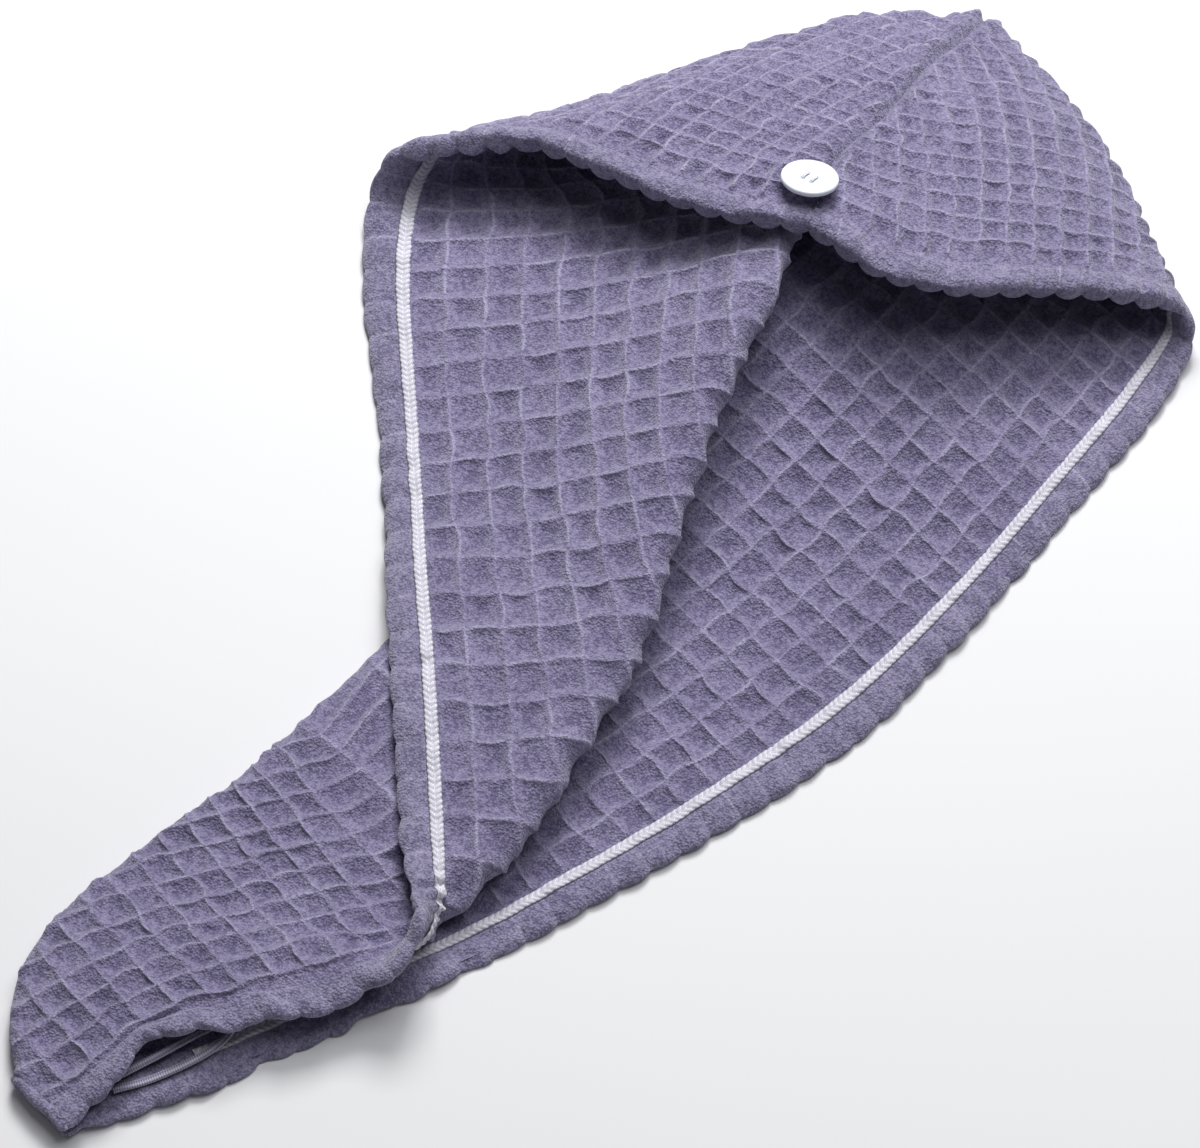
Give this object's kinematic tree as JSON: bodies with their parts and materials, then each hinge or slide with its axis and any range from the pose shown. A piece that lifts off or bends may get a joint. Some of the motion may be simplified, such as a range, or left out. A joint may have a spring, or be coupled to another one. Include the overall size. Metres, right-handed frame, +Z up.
{
  "type": "hair turban towel",
  "caption": "Waffle cloth hair turban lying open: wide hooded end under a buttoned nape flap, body folded over itself, tapering tail with a slit and an elastic loop.",
  "frame": {"origin": "middle of the footprint on the surface it lies on", "axes": "+Z up, +Y along its length towards the hooded crown with the tail at -Y, +X towards the open long hem"},
  "size_m": [0.3358, 0.653, 0.0812],
  "materials": {
    "waffle_cloth": "matte terry waffle weave",
    "hem_cloth": "matte plain terry",
    "white_tape": "matte chain stitched tape",
    "white_plastic": "smooth satin",
    "white_thread": "matte thread",
    "elastic_band": "matte woven elastic"
  },
  "bodies": {
    "root": {"left_panel": "waffle_cloth", "right_panel": "waffle_cloth", "left_hem": "hem_cloth", "right_hem": "hem_cloth", "left_tape": "white_tape", "right_tape": "white_tape", "button": "white_plastic", "button_thread": "white_thread", "tail_loop": "elastic_band"}
  },
  "joints": []
}
